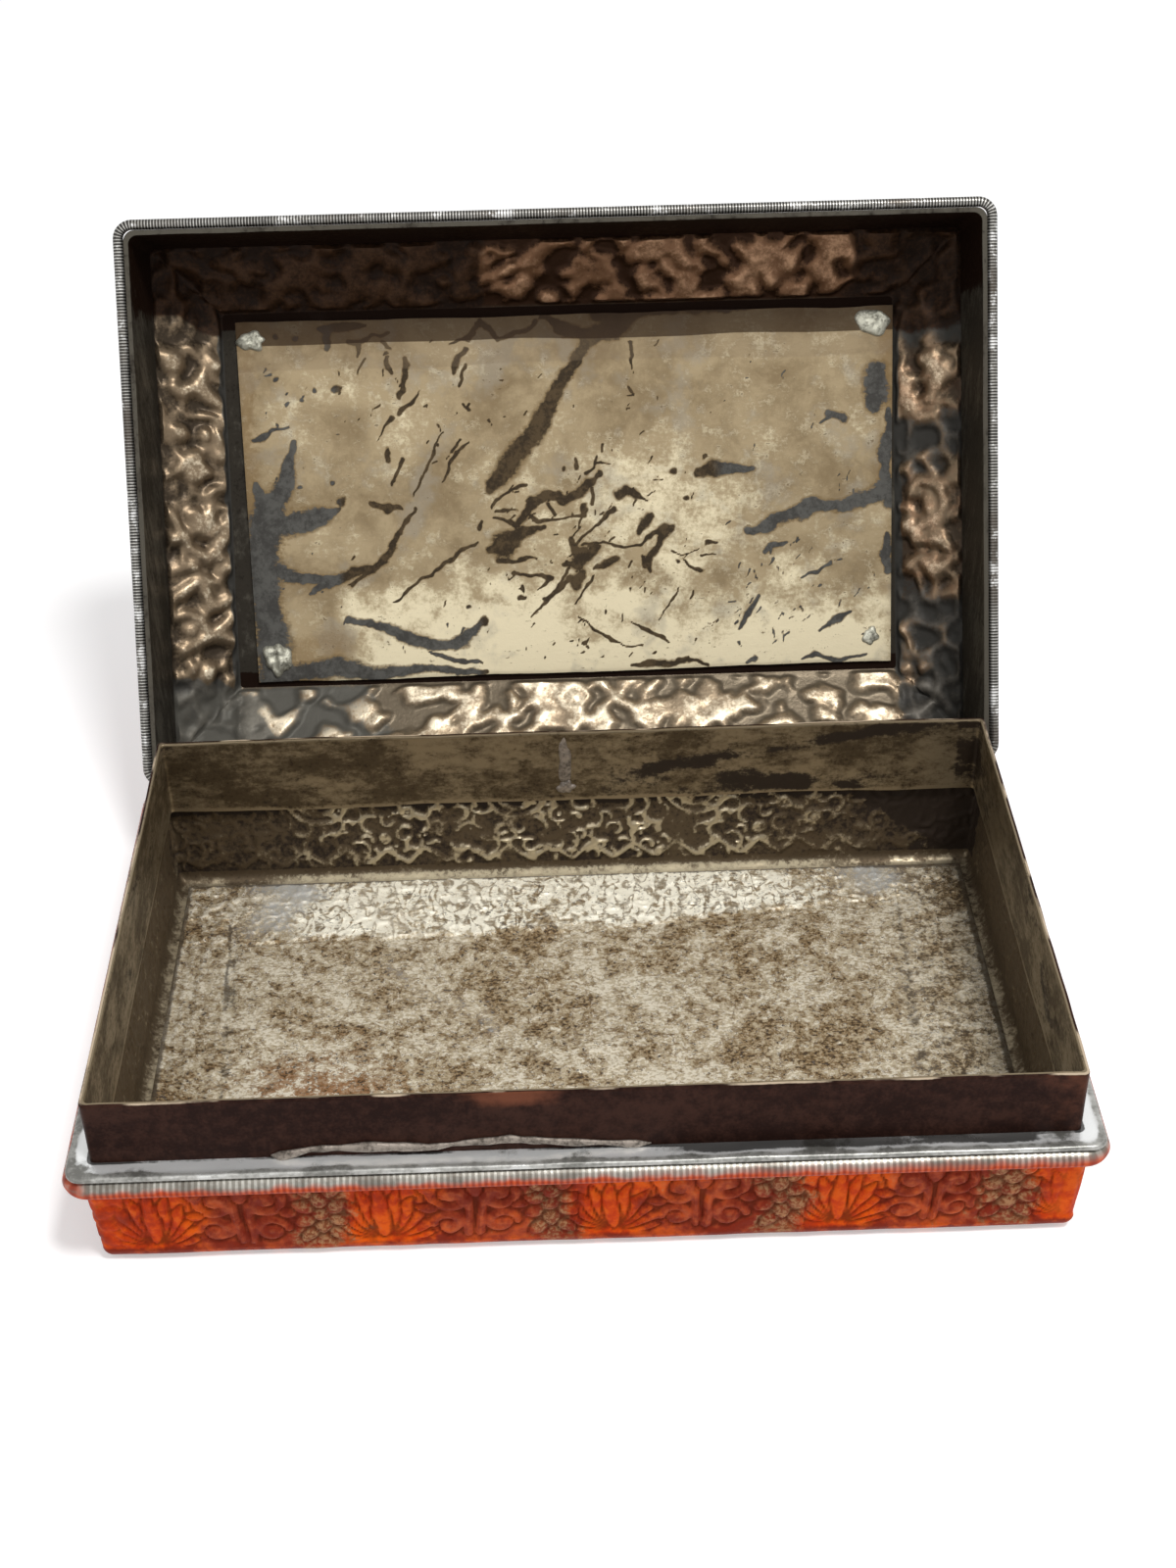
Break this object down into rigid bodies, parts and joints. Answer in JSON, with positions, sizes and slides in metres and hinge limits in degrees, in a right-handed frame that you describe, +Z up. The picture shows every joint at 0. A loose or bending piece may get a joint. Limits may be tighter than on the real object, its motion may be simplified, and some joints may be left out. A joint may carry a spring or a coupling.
{
  "type": "betel nut box",
  "caption": "Rectangular silver box with a low lacquered tray, a bearing collar and a hinged slip-over lid standing open, backed inside by a soldered plate.",
  "frame": {"origin": "centre of the tray's underside, on the table", "axes": "+Z up, +X to the right, -Y towards the front; the open lid stands at the back, towards +Y"},
  "size_m": [0.1804, 0.1858, 0.1255],
  "materials": {
    "lacquer": "worn orange-red lacquer over silver",
    "bright_silver": "polished silver, rubbed bright",
    "brown_silver": "tarnished brown silver",
    "floor_silver": "mottled aged silver",
    "plate_silver": "aged silver with dark stains",
    "grey_solder": "dull grey solder"
  },
  "bodies": {
    "tray": {"tray_wall": "lacquer", "tray_floor": "floor_silver", "tray_shelf": "bright_silver", "tray_moulding": "bright_silver", "tray_collar": "brown_silver", "collar_seam_solder": "grey_solder", "shelf_solder_bead": "grey_solder", "tray_knuckle_left": "brown_silver", "tray_knuckle_centre": "brown_silver", "tray_knuckle_right": "brown_silver", "hinge_pin": "brown_silver"},
    "lid": {"lid_skirt": "brown_silver", "lid_top": "lacquer", "lid_wire": "brown_silver", "backing_plate": "plate_silver", "plate_solder_front_left": "grey_solder", "plate_solder_front_right": "grey_solder", "plate_solder_back_left": "grey_solder", "plate_solder_back_right": "grey_solder", "lid_knuckle_left": "brown_silver", "lid_knuckle_right": "brown_silver"}
  },
  "joints": [
    {"name": "lid_hinge", "type": "hinge", "parent": "tray", "child": "lid", "pos_m": [0, 0.05712, 0.02415], "axis": [-1, 0, 0], "range_deg": [-118, 0]}
  ]
}
